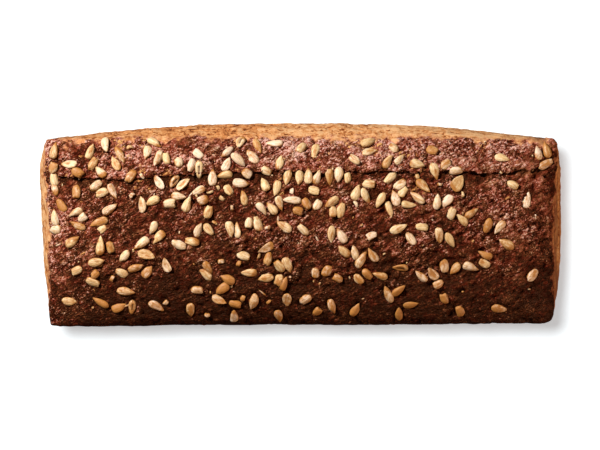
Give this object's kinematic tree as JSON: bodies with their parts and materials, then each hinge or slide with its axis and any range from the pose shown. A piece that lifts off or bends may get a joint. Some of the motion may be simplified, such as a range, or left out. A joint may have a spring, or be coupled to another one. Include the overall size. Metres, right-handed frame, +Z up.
{
  "type": "tin loaf",
  "caption": "Long rye loaf baked in a tin: flared walls that belly out, a domed crust torn along one side, sunflower kernels on the crust, and a flat base to rest on.",
  "frame": {"origin": "middle of the flat base, at the bottom centre of the bounding box", "axes": "+X along the loaf, +Y towards the long side where the crust has torn, +Z up"},
  "size_m": [0.2894, 0.1118, 0.079],
  "materials": {
    "crust": "dark brown baked rye crust with golden brown walls, rough and matte",
    "kernel": "pale toasted sunflower kernel, satin"
  },
  "bodies": {
    "root": {"loaf": "crust", "sunflower_kernel_01": "kernel", "sunflower_kernel_02": "kernel", "sunflower_kernel_03": "kernel", "sunflower_kernel_04": "kernel", "sunflower_kernel_05": "kernel", "sunflower_kernel_06": "kernel", "sunflower_kernel_07": "kernel", "sunflower_kernel_08": "kernel", "sunflower_kernel_09": "kernel", "sunflower_kernel_10": "kernel", "sunflower_kernel_11": "kernel", "sunflower_kernel_12": "kernel", "sunflower_kernel_13": "kernel", "sunflower_kernel_14": "kernel", "sunflower_kernel_15": "kernel", "sunflower_kernel_16": "kernel", "sunflower_kernel_17": "kernel", "sunflower_kernel_18": "kernel", "sunflower_kernel_19": "kernel", "sunflower_kernel_20": "kernel", "sunflower_kernel_21": "kernel", "sunflower_kernel_22": "kernel", "sunflower_kernel_23": "kernel", "sunflower_kernel_24": "kernel", "sunflower_kernel_25": "kernel", "sunflower_kernel_26": "kernel", "sunflower_kernel_27": "kernel", "sunflower_kernel_28": "kernel", "sunflower_kernel_29": "kernel", "sunflower_kernel_30": "kernel", "sunflower_kernel_31": "kernel", "sunflower_kernel_32": "kernel", "sunflower_kernel_33": "kernel", "sunflower_kernel_34": "kernel", "sunflower_kernel_35": "kernel", "sunflower_kernel_36": "kernel", "sunflower_kernel_37": "kernel", "sunflower_kernel_38": "kernel", "sunflower_kernel_39": "kernel", "sunflower_kernel_40": "kernel", "sunflower_kernel_41": "kernel", "sunflower_kernel_42": "kernel", "sunflower_kernel_43": "kernel", "sunflower_kernel_44": "kernel", "sunflower_kernel_45": "kernel", "sunflower_kernel_46": "kernel", "sunflower_kernel_47": "kernel", "sunflower_kernel_48": "kernel", "sunflower_kernel_49": "kernel", "sunflower_kernel_50": "kernel", "sunflower_kernel_51": "kernel", "sunflower_kernel_52": "kernel", "sunflower_kernel_53": "kernel", "sunflower_kernel_54": "kernel", "sunflower_kernel_55": "kernel", "sunflower_kernel_56": "kernel", "sunflower_kernel_57": "kernel"}
  },
  "joints": []
}
